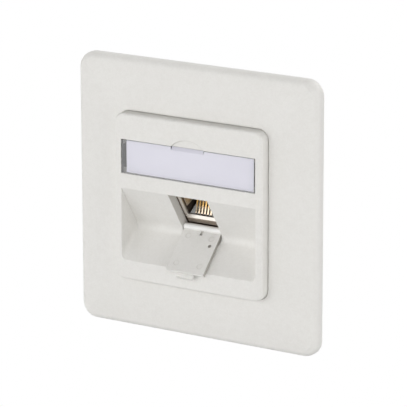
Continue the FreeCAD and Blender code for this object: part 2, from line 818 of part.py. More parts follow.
def make_support_plate():
    """Die-cast support that lies on the wall round the box: a square ring with two slots for the box
    screws, a bridge set clear of the wall with two tapped bosses, and a slanted seat of two cheeks and
    two bars for the jack."""
    body = new_body("support_plate")
    half = "support_opening / 2"
    opening = rectangle(f"-{half}", half, "-support_open_top", "support_open_top")
    ring = new_sketch(body, "XZ_Plane", [rounded_square("support_side", "support_corner"), opening])
    add(body, ring, "support_thick")
    bridge = rectangle(f"-{half} - merge", f"{half} + merge", "bridge_bottom", "bridge_top")
    bridge_sketch = new_sketch(body, "XZ_Plane", [bridge], height="bridge_step")
    add(body, bridge_sketch, "support_thick - bridge_step")
    bosses = [(f"{side} * screw_across", LABEL_MIDDLE, "nut_radius") for side in (-1, 1)]
    boss_sketch = new_sketch(body, "XZ_Plane", circles=bosses, height="bridge_step + merge")
    add(body, boss_sketch, "nut_end + bridge_step + merge", reverse=True)
    taps = [(f"{side} * screw_across", LABEL_MIDDLE, "nut_hole") for side in (-1, 1)]
    cut(body, new_sketch(body, "XZ_Plane", circles=taps), "4 * nut_end", both_ways=True)

    straight = "(box_slot_length / 2 - box_slot_radius)"
    middles = ("box_screw_pitch / 2", "-box_screw_pitch / 2")
    slots = [
        rectangle(f"{middle} - {straight}", f"{middle} + {straight}", "-box_slot_radius", "box_slot_radius")
        for middle in middles
    ]
    cut(body, new_sketch(body, "XZ_Plane", slots), "4 * support_thick", both_ways=True)
    for end in (-1, 1):
        rounds = [(f"{middle} + {end} * {straight}", "0", "box_slot_radius") for middle in middles]
        cut(body, new_sketch(body, "XZ_Plane", circles=rounds), "4 * support_thick", both_ways=True)

    cheek = [
        ("cheek_front", "cheek_bottom"),
        ("cheek_back", "cheek_bottom"),
        ("cheek_back", "cheek_top"),
        ("bar_high_front", "cheek_top"),
        ("cheek_front", "cheek_nose"),
    ]
    cheek_sketch = new_sketch(body, "YZ_Plane", [cheek], height="cheek_inside / 2", on_slant=True)
    mirror(body, [add(body, cheek_sketch, "cheek_thick")])
    low_bar = rectangle("cheek_front", "bar_low_back", "cheek_bottom", "bar_low_top")
    high_bar = rectangle("bar_high_front", "cheek_back", "bar_high_bottom", "bar_high_top")
    bars = new_sketch(body, "YZ_Plane", [low_bar, high_bar], on_slant=True)
    add(body, bars, "cheek_inside + cheek_thick", both_ways=True)
    return body


def deep(place):
    """The height of an XZ sketch that lies at a depth of the port."""
    return f"-({place})"


def make_jack_housing():
    """Die-cast front housing of the jack: the plug's room with its latch key at the top, a slot under
    its rim, and behind it room for the contact carrier and the board. Lugs grip the bars of the seat."""
    body = new_body("jack_housing")
    place_on_port(body)
    block = rectangle("-jack_width / 2", "jack_width / 2", "jack_bottom", "jack_top")
    block_sketch = new_sketch(body, "XZ_Plane", [block], height=deep("jack_front"))
    add(body, block_sketch, "jack_back - jack_front", reverse=True)
    soften(body, "jack_edge", along("Y"))
    roof = "plug_floor + plug_height"
    room = [
        ("-plug_width / 2", "plug_floor"),
        ("plug_width / 2", "plug_floor"),
        ("plug_width / 2", roof),
        ("key_width / 2", roof),
        ("key_width / 2", f"{roof} + key_height"),
        ("-key_width / 2", f"{roof} + key_height"),
        ("-key_width / 2", roof),
        ("-plug_width / 2", roof),
    ]
    cut(body, new_sketch(body, "XZ_Plane", [room], height=deep("jack_front")), "plug_end - jack_front")
    at_front = flat_at("Y", "jack_front")
    edge_of_room = value("plug_width") / 2 + 0.01
    top_of_room = value(f"{roof} + key_height") + 0.01

    def mouth(edge):
        box = edge.BoundBox
        in_width = max(abs(box.XMin), abs(box.XMax)) < edge_of_room
        in_height = value("plug_floor") - 0.01 < box.ZMin and box.ZMax < top_of_room
        return at_front(edge) and in_width and in_height

    soften(body, "mouth_chamfer", mouth, kind="PartDesign::Chamfer")
    half = "carrier_room_width / 2"
    carrier_room = rectangle(f"-{half}", half, "carrier_room_bottom", "plug_floor + merge")
    carrier_sketch = new_sketch(body, "XZ_Plane", [carrier_room], height=deep("carrier_room_front"))
    cut(body, carrier_sketch, "jack_back - carrier_room_front")
    half = "chin_width / 2"
    chin = rectangle(f"-{half}", half, "chin_bottom", "chin_top")
    cut(body, new_sketch(body, "XZ_Plane", [chin], height=deep("jack_front")), "chin_back - jack_front")
    half = "board_room_width / 2"
    board_room = rectangle(f"-{half}", half, "board_room_bottom", "board_room_top")
    cut(body, new_sketch(body, "XZ_Plane", [board_room], height=deep("plug_end")), "jack_back - plug_end")

    low_front = "cheek_front - lug_gap - lug_thick"
    low_back = "bar_low_back + lug_gap"
    high_back = "cheek_back + lug_gap"
    lugs = [
        rectangle(low_front, f"{low_front} + lug_thick", "jack_bottom - lug_high", "jack_bottom + merge"),
        rectangle(low_back, f"{low_back} + lug_thick", "jack_bottom - lug_high", "jack_bottom + merge"),
        rectangle(high_back, f"{high_back} + lug_thick", "jack_top - merge", "jack_top + lug_high"),
    ]
    add(body, new_sketch(body, "YZ_Plane", lugs), "lug_width", both_ways=True)
    catch_sketch = new_sketch(body, "YZ_Plane", [catch_outline("0")], height="jack_width / 2 - merge")
    mirror(body, [add(body, catch_sketch, "catch_high + merge")])
    return body


def catch_outline(gap):
    """The catch on the housing's side, or with a gap the eye of the strap that snaps over it."""
    half = f"(catch_side / 2 + {gap})"
    return rectangle(
        f"catch_depth - {half}", f"catch_depth + {half}", f"catch_up - {half}", f"catch_up + {half}"
    )


def make_contact_carrier():
    """Moulded insert: a floor with a groove for each contact, and a wall that ends the plug's room."""
    body = new_body("contact_carrier")
    place_on_port(body)
    side = [
        ("carrier_front", "carrier_bottom"),
        ("carrier_back", "carrier_bottom"),
        ("carrier_back", "carrier_rear_top"),
        ("carrier_rear_front", "carrier_rear_top"),
        ("carrier_rear_front", "carrier_top"),
        ("carrier_front", "carrier_top"),
    ]
    add(body, new_sketch(body, "YZ_Plane", [side]), "carrier_width", both_ways=True)
    groove = rectangle("carrier_front - past", "carrier_back + past", "groove_bottom", "carrier_top")
    groove_sketch = new_sketch(body, "YZ_Plane", [groove], height=FIRST_CONTACT)
    first = cut(body, groove_sketch, "contact_groove", both_ways=True)
    row(body, [first], "contact_pitch", "contact_count")
    return body


def make_spring_contacts():
    """Gilt spring wires: each lies in its groove, bends back on itself at the front and rises to a free
    end that the plug presses down."""
    body = new_body("spring_contacts")
    place_on_port(body)
    outside = "(bend_radius + contact_thick)"
    middle = f"(contact_bottom + {outside})"
    lean, climb = "cos(contact_rise)", "sin(contact_rise)"
    wire = [
        ("contact_tail", f"{middle} - bend_radius"),
        ("contact_bend", f"{middle} - bend_radius", "-bend_radius"),
        (f"contact_bend - bend_radius * {climb}", f"{middle} + bend_radius * {lean}"),
        (
            f"contact_bend - bend_radius * {climb} + contact_reach * {lean}",
            f"{middle} + bend_radius * {lean} + contact_reach * {climb}",
        ),
        (
            f"contact_bend - {outside} * {climb} + contact_reach * {lean}",
            f"{middle} + {outside} * {lean} + contact_reach * {climb}",
        ),
        (f"contact_bend - {outside} * {climb}", f"{middle} + {outside} * {lean}", outside),
        ("contact_bend", "contact_bottom"),
        ("contact_tail", "contact_bottom"),
    ]
    wire_sketch = new_sketch(body, "YZ_Plane", [wire], height=FIRST_CONTACT)
    first = add(body, wire_sketch, "contact_width", both_ways=True)
    row(body, [first], "contact_pitch", "contact_count")
    return body


def make_shield_springs():
    """A bowed leaf on each side wall of the plug's room, which earths the plug's screen."""
    body = new_body("shield_springs")
    place_on_port(body)
    wall = "(plug_width / 2 - spring_gap)"
    leaf = [
        (wall, "spring_front", "-spring_bow_radius"),
        (wall, "spring_back"),
        (f"{wall} - spring_thick", "spring_back", "spring_bow_radius"),
        (f"{wall} - spring_thick", "spring_front"),
    ]
    leaf_sketch = new_sketch(body, "XY_Plane", [leaf], height="spring_bottom")
    mirror(body, [add(body, leaf_sketch, "spring_top - spring_bottom")])
    return body


def make_jack_board():
    """Circuit board that links the contacts to the wire terminals."""
    body = new_body("jack_board")
    place_on_port(body)
    board = rectangle("-board_width / 2", "board_width / 2", "board_bottom", "board_top")
    add(body, new_sketch(body, "XZ_Plane", [board], height=deep("board_front")), "board_thick", reverse=True)
    return body


def tower_middle(side):
    """The middle of the upper (1) or lower (-1) row of wire terminals."""
    if side > 0:
        return "(block_top - tower_inset - tower_thick / 2)"
    return "(block_bottom + tower_inset + tower_thick / 2)"


def make_terminal_block():
    """Moulded block of two towers, each with four wire slots and a room for a terminal behind each."""
    body = new_body("terminal_block")
    place_on_port(body)
    base = rectangle("-block_width / 2", "block_width / 2", "block_bottom", "block_top")
    add(body, new_sketch(body, "XZ_Plane", [base], height=deep("block_front")), "block_base", reverse=True)
    towers = [
        rectangle(
            "-block_width / 2",
            "block_width / 2",
            f"{tower_middle(side)} - tower_thick / 2",
            f"{tower_middle(side)} + tower_thick / 2",
        )
        for side in (-1, 1)
    ]
    tower_sketch = new_sketch(body, "XZ_Plane", towers, height=deep("block_front + block_base / 2"))
    add(body, tower_sketch, "tower_back - block_front - block_base / 2", reverse=True)
    wire = rectangle(
        f"{FIRST_WIRE} - wire_slot / 2",
        f"{FIRST_WIRE} + wire_slot / 2",
        "block_bottom - past",
        "block_top + past",
    )
    wire_sketch = new_sketch(body, "XZ_Plane", [wire], height=deep("tower_back"))
    slot = cut(body, wire_sketch, "tower_back - wire_slot_front", reverse=True)
    row(body, [slot], "wire_pitch", "wires_in_row")
    rooms = [
        rectangle(
            f"{FIRST_WIRE} - terminal_room_width / 2",
            f"{FIRST_WIRE} + terminal_room_width / 2",
            f"{tower_middle(side)} - terminal_room_thick / 2",
            f"{tower_middle(side)} + terminal_room_thick / 2",
        )
        for side in (-1, 1)
    ]
    room_sketch = new_sketch(body, "XZ_Plane", rooms, height=deep("tower_back"))
    first = cut(body, room_sketch, "tower_back - block_front - block_base", reverse=True)
    row(body, [first], "wire_pitch", "wires_in_row")
    return body


def make_wire_terminals():
    """Forked terminals that cut through a wire's insulation when it is pressed in."""
    body = new_body("wire_terminals")
    place_on_port(body)
    features = []
    for side in (-1, 1):
        fork = [
            (f"{FIRST_WIRE} - terminal_width / 2", "terminal_front"),
            (f"{FIRST_WIRE} + terminal_width / 2", "terminal_front"),
            (f"{FIRST_WIRE} + terminal_width / 2", "terminal_back"),
            (f"{FIRST_WIRE} + terminal_gap / 2", "terminal_back"),
            (f"{FIRST_WIRE} + terminal_gap / 2", "terminal_gap_front"),
            (f"{FIRST_WIRE} - terminal_gap / 2", "terminal_gap_front"),
            (f"{FIRST_WIRE} - terminal_gap / 2", "terminal_back"),
            (f"{FIRST_WIRE} - terminal_width / 2", "terminal_back"),
        ]
        bottom = f"{tower_middle(side)} - terminal_thick / 2"
        fork_sketch = new_sketch(body, "XY_Plane", [fork], height=bottom)
        features.append(add(body, fork_sketch, "terminal_thick"))
    row(body, features, "wire_pitch", "wires_in_row")
    return body


def make_wire_cap():
    """Moulded cap that presses the wires into the terminals: a plate with a notch for each wire and a
    tube that guides the cable in at the middle."""
    body = new_body("wire_cap")
    place_on_port(body)
    front = deep("cap_plate_front")
    plate = rectangle("-cap_plate_width / 2", "cap_plate_width / 2", "cap_plate_bottom", "cap_plate_top")
    add(body, new_sketch(body, "XZ_Plane", [plate], height=front), "cap_plate_thick", reverse=True)
    soften(body, "rear_edge", along("Y"))
    left, right = f"{FIRST_WIRE} - cap_notch / 2", f"{FIRST_WIRE} + cap_notch / 2"
    notches = [
        rectangle(left, right, "cap_plate_top - cap_notch_deep", "cap_plate_top + past"),
        rectangle(left, right, "cap_plate_bottom - past", "cap_plate_bottom + cap_notch_deep"),
    ]
    first = cut(body, new_sketch(body, "XZ_Plane", notches, height=front), "2 * cap_plate_thick")
    row(body, [first], "wire_pitch", "wires_in_row")
    tube = ("0", JACK_MIDDLE, "cap_hole + guide_thick")
    tube_sketch = new_sketch(body, "XZ_Plane", circles=[tube], height=front)
    add(body, tube_sketch, "guide_back - cap_plate_front", reverse=True)
    bore = ("0", JACK_MIDDLE, "cap_hole")
    bore_sketch = new_sketch(body, "XZ_Plane", circles=[bore], height=front)
    cut(body, bore_sketch, "guide_back - cap_plate_front")
    return body


def make_rear_cap():
    """Die-cast screening cap over the wire end: a box with a cable inlet at the back, held to the front
    housing by a spring strap on each side."""
    body = new_body("rear_cap")
    place_on_port(body)
    block = rectangle("-jack_width / 2", "jack_width / 2", "jack_bottom", "jack_top")
    block_sketch = new_sketch(body, "XZ_Plane", [block], height=deep("rear_front"))
    add(body, block_sketch, "rear_back - rear_front", reverse=True)
    soften(body, "jack_edge", along("Y"))
    soften(body, "rear_edge", flat_at("Y", "rear_back"))
    half = "(jack_width / 2 - rear_wall)"
    hollow = rectangle(f"-{half}", half, "jack_bottom + rear_wall", "jack_top - rear_wall")
    hollow_sketch = new_sketch(body, "XZ_Plane", [hollow], height=deep("rear_front"))
    cut(body, hollow_sketch, "rear_back - rear_front - rear_wall")
    tube = ("0", JACK_MIDDLE, "inlet_radius + inlet_wall")
    tube_sketch = new_sketch(body, "XZ_Plane", circles=[tube], height=deep("rear_back - rear_wall / 2"))
    add(body, tube_sketch, "inlet_back - rear_back + rear_wall / 2", reverse=True)
    inlet = ("0", JACK_MIDDLE, "inlet_radius")
    inlet_sketch = new_sketch(body, "XZ_Plane", circles=[inlet], height=deep("rear_back - 2 * rear_wall"))
    cut(body, inlet_sketch, "inlet_back - rear_back + 2 * rear_wall")

    low, high = "catch_up - strap_height / 2", "catch_up + strap_height / 2"
    root = rectangle("rear_front", "rear_front + strap_height / 2", low, high)
    root_sketch = new_sketch(body, "YZ_Plane", [root], height="jack_width / 2 - rear_wall / 2")
    strap = rectangle("strap_front", "rear_front + strap_height / 2", low, high)
    strap_sketch = new_sketch(body, "YZ_Plane", [strap], height="jack_width / 2 + strap_gap")
    features = [
        add(body, root_sketch, "rear_wall / 2 + strap_gap + strap_thick"),
        add(body, strap_sketch, "strap_thick"),
    ]
    outside = "jack_width / 2 + strap_gap + strap_thick"
    eye_sketch = new_sketch(body, "YZ_Plane", [catch_outline("lug_gap")], height=outside)
    features.append(cut(body, eye_sketch, "strap_thick"))
    mirror(body, features)
    return body


fill_sheet()
sub_parts = [
    make_cover_frame(),
    make_central_plate(),
    make_label_window(),
    make_paper_label(),
    make_dust_flap(),
    make_plate_screws(),
    make_support_plate(),
    make_jack_housing(),
    make_contact_carrier(),
    make_spring_contacts(),
    make_shield_springs(),
    make_jack_board(),
    make_terminal_block(),
    make_wire_terminals(),
    make_wire_cap(),
    make_rear_cap(),
]

doc.recompute()
for thing in doc.Objects:
    if "Invalid" in thing.State or "Error" in thing.State:
        raise RuntimeError(f"{thing.Label} is {thing.State}")
os.makedirs("parts", exist_ok=True)
for sub_part in sub_parts:
    if sub_part.Shape.isNull() or not sub_part.Shape.isValid():
        raise RuntimeError(f"{sub_part.Label} has no valid shape")
    sub_part.Shape.exportStep(f"parts/{sub_part.Label}.step")
    print(sub_part.Label, len(sub_part.Shape.Solids), round(sub_part.Shape.Volume, 1))
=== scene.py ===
"""Flush network wall socket: a white cover frame and central plate, a label under a clear window, and a
slanted screened port in a recess with its dust flap standing open. Metres, X right, Y into the wall, Z up.
"""
import math

import bpy
from mathutils import Euler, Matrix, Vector


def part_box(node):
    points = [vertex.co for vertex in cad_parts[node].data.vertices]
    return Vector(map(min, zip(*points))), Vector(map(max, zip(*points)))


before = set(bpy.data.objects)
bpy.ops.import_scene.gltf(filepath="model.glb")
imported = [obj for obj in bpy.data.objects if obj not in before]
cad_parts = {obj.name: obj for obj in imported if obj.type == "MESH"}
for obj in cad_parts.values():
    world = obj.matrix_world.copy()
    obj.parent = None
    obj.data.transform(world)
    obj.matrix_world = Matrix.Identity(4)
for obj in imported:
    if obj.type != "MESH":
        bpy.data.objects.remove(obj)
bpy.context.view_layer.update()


# Support plate
# Zinc die casting that lies on the wall round the box and carries everything else. Its skin is the
# dull grey of bare cast zinc, with the flow marks and the fine pitting of the die.

MM = 0.001


class Shade:
    """A socket among a finish's nodes. Sums on it add the nodes that work them out."""

    def __init__(self, socket):
        self.socket = socket

    def node(self, kind, settings, values, output=0):
        """A new node of this tree: its settings, then the value or link of each socket named or counted."""
        made = self.socket.id_data.nodes.new("ShaderNode" + kind)
        for name, setting in settings.items():
            setattr(made, name, setting)
        for name, value in values.items():
            feed(made.inputs[name], value)
        return Shade(made.outputs[output])

    def sum(self, operation, *others):
        """This value, with others where the operation takes them, through a Math node."""
        return self.node("Math", {"operation": operation}, dict(enumerate((self, *others))))

    def __add__(self, other):
        return self.sum("ADD", other)

    __radd__ = __add__

    def __sub__(self, other):
        return self.sum("SUBTRACT", other)

    def __rsub__(self, other):
        return self.node("Math", {"operation": "SUBTRACT"}, {0: other, 1: self})

    def __mul__(self, other):
        return self.sum("MULTIPLY", other)

    __rmul__ = __mul__

    def __truediv__(self, other):
        return self.sum("DIVIDE", other)

    def __abs__(self):
        return self.sum("ABSOLUTE")

    def over(self, low, high):
        """0 where this is below low, 1 above high, and a soft step between them."""
        limits = {"Value": self, "From Min": low, "From Max": high}
        return self.node("MapRange", {"interpolation_type": "SMOOTHSTEP"}, limits)

    def within(self, low, high, soft):
        """1 between low and high and 0 outside, with soft edges."""
        return self.over(low - soft, low + soft) * (1 - self.over(high - soft, high + soft))

    def tint(self, first, second):
        """The first colour where this is 0, going over to the second where it is 1."""
        return self.node("Mix", {"data_type": "RGBA"}, {0: self, 6: first, 7: second}, output=2)

    def grain(self, size, detail, stretch=(1, 1, 1)):
        """Noise at this place, from 0 to 1, in patches of about this size, longer along a small stretch."""
        place = self.node("VectorMath", {"operation": "MULTIPLY"}, {0: self, 1: stretch})
        values = {"Vector": place, "Scale": 1 / size, "Detail": detail, "Roughness": 0.55}
        return place.node("TexNoise", {}, values)

    def axis(self, letter):
        """One coordinate of this place."""
        return self.node("SeparateXYZ", {}, {0: self}, output=letter)

    def relief(self, depth, strength, under=None):
        """A surface that this height raises by up to this depth, on top of another relief."""
        values = {"Height": self, "Distance": depth, "Strength": strength}
        if under:
            values["Normal"] = under
        return self.node("Bump", {}, values)


def feed(socket, value):
    """Links a worked-out value to a socket, or sets a plain one."""
    if isinstance(value, Shade):
        socket.id_data.links.new(value.socket, socket)
    elif socket.type == "RGBA":
        socket.default_value = (*value, 1)
    else:
        socket.default_value = value


def new_finish(name, **uniform):
    """A material whose shader has these even values, with the place on the piece that its pattern follows."""
    material = bpy.data.materials.new(name)
    material.use_nodes = True
    shader = material.node_tree.nodes["Principled BSDF"]
    for socket, value in uniform.items():
        feed(shader.inputs[socket.replace("_", " ")], value)
    coordinates = material.node_tree.nodes.new("ShaderNodeTexCoord")
    return material, shader.inputs, Shade(coordinates.outputs["Object"])


def eased(place, radius):
    """The faces' direction with sharp edges eased to a small radius, as a tool leaves them."""
    return place.node("Bevel", {"samples": 6}, {"Radius": radius})


def clad(node, material):
    """Gives a CAD node its finish."""
    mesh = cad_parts[node].data
    mesh.materials.clear()
    mesh.materials.append(material)


def coated(skin, place, coats):
    """The skin's colour with each coat over it, a share worked out from the place and a colour."""
    for share_at, colour in coats:
        skin = share_at(place).tint(skin, colour)
    return skin


def cast_metal(name, pale, dark, roughness, pit, coats=()):
    """Die-cast metal: cloudy flow marks, fine pits and eased edges, under coats of other colours."""
    material, shader, place = new_finish(name, Metallic=0.9)
    flow = place.grain(6 * MM, 4, (1, 0.35, 1))
    fine = place.grain(pit, 3)
    skin = (0.7 * flow + 0.3 * fine).over(0.3, 0.7).tint(dark, pale)
    feed(shader["Base Color"], coated(skin, place, coats))
    feed(shader["Roughness"], roughness + 0.16 * (flow - 0.5) + 0.08 * fine)
    feed(shader["Normal"], fine.relief(0.02 * MM, 0.5, eased(place, 0.12 * MM)))
    return material


zinc_pale = (0.56, 0.56, 0.55)
zinc_dark = (0.40, 0.40, 0.40)
clad("support_plate", cast_metal("bare_zinc", zinc_pale, zinc_dark, roughness=0.5, pit=0.35 * MM))


# Circuit board
# Glass-fibre board with a green solder mask. The tracks show through the mask as paler raised lines,
# and the cut edges show the yellowish fibre.

port_tilt = math.radians(34)
port_start = Vector((0, -7.7, 2.6)) * MM
into_port = Vector((0, math.cos(port_tilt), math.sin(port_tilt)))
up_port = Vector((0, -math.sin(port_tilt), math.cos(port_tilt)))
to_right = Vector((1, 0, 0))


def places_along(place, start, ways):
    """How far a place lies from the start along each of the ways, in metres."""
    local = place.node("VectorMath", {"operation": "SUBTRACT"}, {0: place, 1: start})
    return [
        local.node("VectorMath", {"operation": "DOT_PRODUCT"}, {0: local, 1: way}, output="Value")
        for way in ways
    ]


def port_places(place):
    """Across, deep and up in the slanted port."""
    return places_along(place, port_start, (to_right, into_port, up_port))


def board_finish():
    """Green mask over the tracks on both faces, and woven fibre on the cut edges."""
    material, shader, place = new_finish("solder_mask", Roughness=0.32)
    across, deep, up = port_places(place)
    track_pitch = 1.5 * MM
    board_middle = -8 * MM
    free_half = 1.2 * MM
    weave_rate = 5000
    edge_start = 16.92 * MM
    edge_end = 17.88 * MM
    lines = abs((across / track_pitch).sum("FRACT") - 0.5)
    tracks = (1 - lines.over(0.10, 0.16)) * abs(up - board_middle).over(free_half, free_half + 0.2 * MM)
    weave = (across * weave_rate).sum("SINE") * (up * weave_rate).sum("SINE")
    edges = deep.within(edge_start, edge_end, 0.01 * MM)
    mask = tracks.tint((0.012, 0.10, 0.045), (0.03, 0.20, 0.085))
    fibre = (0.5 + 0.5 * weave).tint((0.36, 0.33, 0.17), (0.46, 0.43, 0.25))
    feed(shader["Base Color"], edges.tint(mask, fibre))
    feed(shader["Normal"], (tracks + 0.1 * weave).relief(0.03 * MM, 0.7))
    return material


clad("jack_board", board_finish())


# Contact carrier and terminal block
# Moulded from glass-filled plastic: a grey insert with a groove for each contact, and a black block
# with a room for each wire terminal. Fine glass specks show in the skin.


def filled_plastic(name, pale, dark, roughness, coats=()):
    """Glass-filled plastic: short specks in a slightly uneven skin, under coats of other colours."""
    material, shader, place = new_finish(name)
    specks = place.grain(0.12 * MM, 3, (1, 0.25, 1))
    flow = place.grain(2.5 * MM, 2)
    skin = (0.6 * specks + 0.4 * flow).over(0.3, 0.7).tint(dark, pale)
    feed(shader["Base Color"], coated(skin, place, coats))
    feed(shader["Roughness"], roughness + 0.2 * (specks - 0.5))
    feed(shader["Normal"], specks.relief(0.008 * MM, 0.5, eased(place, 0.06 * MM)))
    return material


def groove_shade_share(place):
    """Painted shade in the grooves under the contacts and in the comb at the insert's front."""
    _, _, up = port_places(place)
    dusty_up_to = -12.7 * MM
    clean_from = -12.1 * MM
    return 0.9 * (1 - up.over(dusty_up_to, clean_from))


insert_pale = (0.76, 0.76, 0.745)
insert_dark = (0.66, 0.66, 0.645)
# Near-black painted shade for the grooves and the gaps of the comb.
painted_groove_shade = (0.05, 0.04, 0.03)
insert_coats = ((groove_shade_share, painted_groove_shade),)
insert = filled_plastic("grey_insert", insert_pale, insert_dark, roughness=0.45, coats=insert_coats)
clad("contact_carrier", insert)
block_pale = (0.035, 0.035, 0.038)
block_dark = (0.022, 0.022, 0.024)
clad("terminal_block", filled_plastic("black_block", block_pale, block_dark, roughness=0.45))


# Spring contacts
# Phosphor-bronze wires, gilt where the plug touches them and tinned at their lower ends. Drawing leaves
# fine lines along each wire.


def drawn_metal(name, pale, dark, roughness, line, stretch, coats=()):
    """Drawn or rolled metal: fine lines one way, and a faint cloud, under coats of other colours."""
    material, shader, place = new_finish(name, Metallic=1.0)
    lines = place.grain(line, 2, stretch)
    cloud = place.grain(1.5 * MM, 2)
    skin = (0.5 * lines + 0.5 * cloud).over(0.3, 0.7).tint(dark, pale)
    feed(shader["Base Color"], coated(skin, place, coats))
    feed(shader["Roughness"], roughness + 0.14 * (lines - 0.5))
    feed(shader["Normal"], lines.relief(0.004 * MM, 0.5))
    return material


def tinned_share(place):
    """The lower ends of the wires, in front of the gilt stretch."""
    _, deep, _ = port_places(place)
    tin_end = 5.4 * MM
    gilt_start = 6.6 * MM
    return 0.6 * (1 - deep.over(tin_end, gilt_start))


gold_pale = (0.86, 0.55, 0.20)
gold_dark = (0.52, 0.29, 0.10)
tin = (0.70, 0.67, 0.60)
wire_coats = ((tinned_share, tin),)
wire_way = (1, 0.1, 0.1)
gilt = drawn_metal("gilding", gold_pale, gold_dark, 0.24, line=0.06 * MM, stretch=wire_way, coats=wire_coats)
clad("spring_contacts", gilt)


# Wire terminals and side springs
# Stamped from tinned strip: the forked terminals that cut into the wires, and the bowed leaves that
# earth the plug's screen. Rolling lines run along the strip.

rolled_line = 0.08 * MM
strip_pale = (0.66, 0.64, 0.60)
strip_dark = (0.52, 0.50, 0.46)
strip = drawn_metal("tinned_strip", strip_pale, strip_dark, 0.3, rolled_line, stretch=(1, 0.1, 0.1))
clad("wire_terminals", strip)
leaf_pale = (0.92, 0.90, 0.87)
leaf_dark = (0.66, 0.61, 0.55)
leaf = drawn_metal("spring_leaf", leaf_pale, leaf_dark, 0.34, rolled_line, stretch=(1, 0.12, 1))
clad("shield_springs", leaf)


# Jack housing and rear cap
# Nickel-plated zinc castings that screen the jack: the housing with the plug's room, and the cap that
# snaps over the wire end. The plating is warmer and brighter than bare zinc.

nickel_pale = (0.70, 0.665, 0.61)
nickel_dark = (0.56, 0.52, 0.47)
# Browner tone of the strip under the mouth.
chin_tone = (0.68, 0.59, 0.51)
# Near-black painted shade for the plug's room, the slot under the chin and the gap line on the rim.
painted_interior_shade = (0.115, 0.080, 0.060)
mouth_front = 3.0 * MM
mouth_chamfer = 0.7 * MM
mouth_half = 5.92 * MM
mouth_floor = -11.75 * MM
chin_top = -14.25 * MM
slot_back = 4.2 * MM
room_low = -14.2 * MM
room_high = -1.5 * MM
gap_line = 0.55 * MM
port_half = 6.65 * MM
nickel_roughness = 0.36
nickel_pit = 0.25 * MM


def chin_share(place):
    """The strip of the front under the mouth, coloured browner."""
    _, deep, up = port_places(place)
    on_front = 1 - deep.over(mouth_front + 0.1 * MM, mouth_front + 0.2 * MM)
    below = 1 - up.over(mouth_floor - mouth_chamfer - 0.1 * MM, mouth_floor - mouth_chamfer)
    return 0.85 * on_front * below


def interior_shade_share(place):
    """Painted shade in the plug's room behind the mouth, in the slot under the chin and as a gap line on the
    rim behind the collar.
    """
    across, deep, up = port_places(place)
    inside = 1 - abs(across).over(mouth_half + 0.2 * MM, mouth_half + 0.6 * MM)
    behind_mouth = deep.over(mouth_front + mouth_chamfer, mouth_front + 2.2 * mouth_chamfer)
    room = inside * behind_mouth * up.within(room_low, room_high, 0.1 * MM)
    under_chin = 1 - up.over(chin_top, chin_top + 0.1 * MM)
    slot = under_chin * deep.within(mouth_front + 0.03 * MM, slot_back, 0.02 * MM)
    rim = abs(across).over(port_half - gap_line - 0.1 * MM, port_half - gap_line)
    rim_front = rim * (1 - deep.over(mouth_front + 0.1 * MM, mouth_front + 0.2 * MM))
    return (room + slot + rim_front).sum("MINIMUM", 0.95)


jack_coats = ((chin_share, chin_tone), (interior_shade_share, painted_interior_shade))
for node, name, coats in (("jack_housing", "jack_plating", jack_coats), ("rear_cap", "plated_casting", ())):
    clad(node, cast_metal(name, nickel_pale, nickel_dark, nickel_roughness, nickel_pit, coats))


# Wire cap
# Cap of glass-filled white plastic, moulded in one piece. It presses the wires into their terminals and
# sits between the terminal block and the rear cap.

cap_pale = (0.70, 0.70, 0.68)
cap_dark = (0.62, 0.62, 0.60)
clad("wire_cap", filled_plastic("white_cap", cap_pale, cap_dark, roughness=0.5))


# Cover frame and central plate
# Moulded in white plastic in a spark-eroded tool, which leaves a fine satin skin. Slow waves of the
# melt make the gloss a little uneven.


def satin_plastic(name, pale, dark, roughness, edge, coats=()):
    """White moulded plastic with a fine satin skin and eased edges, under coats of other colours."""
    material, shader, place = new_finish(name, IOR=1.46)
    melt = place.grain(14 * MM, 3)
    cloud = place.grain(1.6 * MM, 2)
    skin = place.grain(0.5 * MM, 3)
    shade = (0.2 * melt + 0.35 * cloud + 0.45 * skin).over(0.3, 0.7).tint(dark, pale)
    feed(shader["Base Color"], coated(shade, place, coats))
    feed(shader["Roughness"], roughness + 0.10 * (melt - 0.5) + 0.10 * (skin - 0.5))
    feed(shader["Normal"], skin.relief(0.006 * MM, 0.4, eased(place, edge)))
    return material


white_pale = (0.795, 0.784, 0.756)
white_dark = (0.750, 0.737, 0.706)
white_roughness = 0.4
white_edge = 0.18 * MM
label_top = 17.24 * MM
scoop_half = 5.5 * MM
scoop_rise = 2.2 * MM
scoop_radius = (scoop_half ** 2 + scoop_rise ** 2) / (2 * scoop_rise)
scoop_centre = label_top + scoop_rise - scoop_radius
# Painted shade for the crease at the foot of the finger scoop.
painted_scoop_shade = (0.46, 0.45, 0.42)


def away(across, along):
    """The distance that two steps at right angles make."""
    return (across * across + along * along).sum("SQRT")


def scoop_shade_share(place):
    """Painted shade along the foot of the finger scoop over the label."""
    out = away(place.axis("X"), place.axis("Z") - scoop_centre)
    rim = out.within(scoop_radius - 0.1 * MM, scoop_radius + 0.1 * MM, 0.06 * MM)
    return 0.35 * rim * place.axis("Z").over(label_top, label_top + 0.1 * MM)


plate_coats = ((scoop_shade_share, painted_scoop_shade),)
for node, name, coats in (
    ("cover_frame", "white_satin_plastic", ()),
    ("central_plate", "white_plate_plastic", plate_coats),
):
    clad(node, satin_plastic(name, white_pale, white_dark, white_roughness, white_edge, coats))


# Plate screws
# Zinc-plated pan-head steel screws behind the label, which hold the plate to the support. Turning leaves
# rings on their heads.


